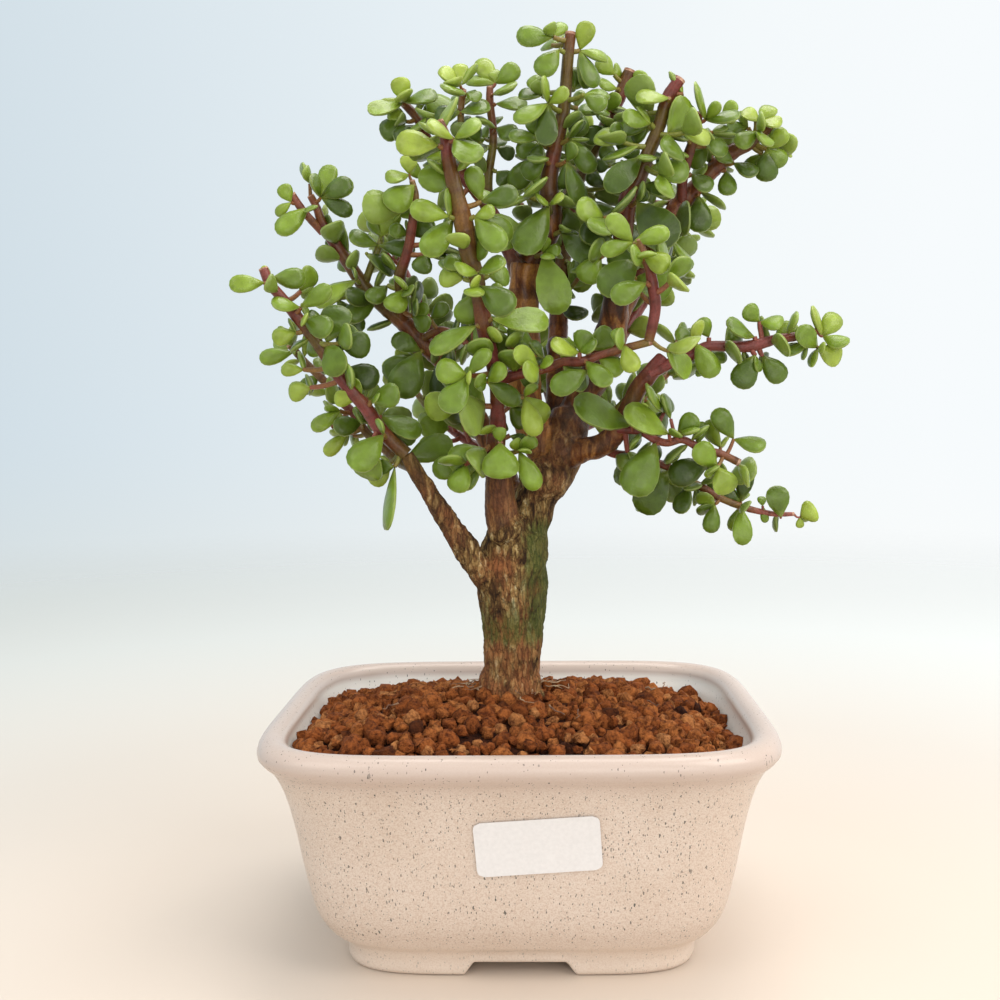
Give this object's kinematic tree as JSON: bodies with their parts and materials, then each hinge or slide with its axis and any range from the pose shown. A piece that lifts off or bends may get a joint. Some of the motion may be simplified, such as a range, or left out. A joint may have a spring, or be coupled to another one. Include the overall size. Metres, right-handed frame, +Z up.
{
  "type": "dwarf jade bonsai",
  "caption": "Small dwarf jade bonsai with a forked trunk and an upright crown of round fleshy leaves, in a cream speckled rounded-rectangle pot of red clay granules.",
  "frame": {"origin": "middle of the whole part's box, at the bottom, where the pot's foot ring stands", "axes": "+Z up, along the trunk; -Y out of the pot's front, which carries the label; +X to the right seen from the front"},
  "size_m": [0.2032, 0.1512, 0.3131],
  "materials": {
    "speckled_glaze": "satin glaze",
    "baked_clay_granules": "matte, granular",
    "bark": "peeling, matte",
    "label_paper": "matte",
    "plastic_mesh": "matte",
    "succulent_leaf": "waxy"
  },
  "bodies": {
    "root": {"pot": "speckled_glaze", "soil": "baked_clay_granules", "trunk": "bark", "label": "label_paper", "drain_screen_left": "plastic_mesh", "drain_screen_right": "plastic_mesh", "leafy_branch_left_low": "succulent_leaf", "leafy_branch_left_back": "succulent_leaf", "leafy_branch_front_tall": "succulent_leaf", "leafy_branch_centre_top": "succulent_leaf", "leafy_branch_right_upper": "succulent_leaf", "leafy_branch_far_right": "succulent_leaf", "leafy_branch_right_long": "succulent_leaf", "leafy_branch_right_low": "succulent_leaf", "leafy_branch_right_lowest": "succulent_leaf", "leafy_branch_left_middle": "succulent_leaf", "leafy_branch_upper_left": "succulent_leaf", "leafy_branch_back_centre": "succulent_leaf", "leafy_branch_back_left": "succulent_leaf", "leafy_branch_back_right": "succulent_leaf", "leafy_branch_back_low": "succulent_leaf", "leafy_branch_back_low_right": "succulent_leaf", "leafy_branch_back_low_left": "succulent_leaf"}
  },
  "joints": []
}
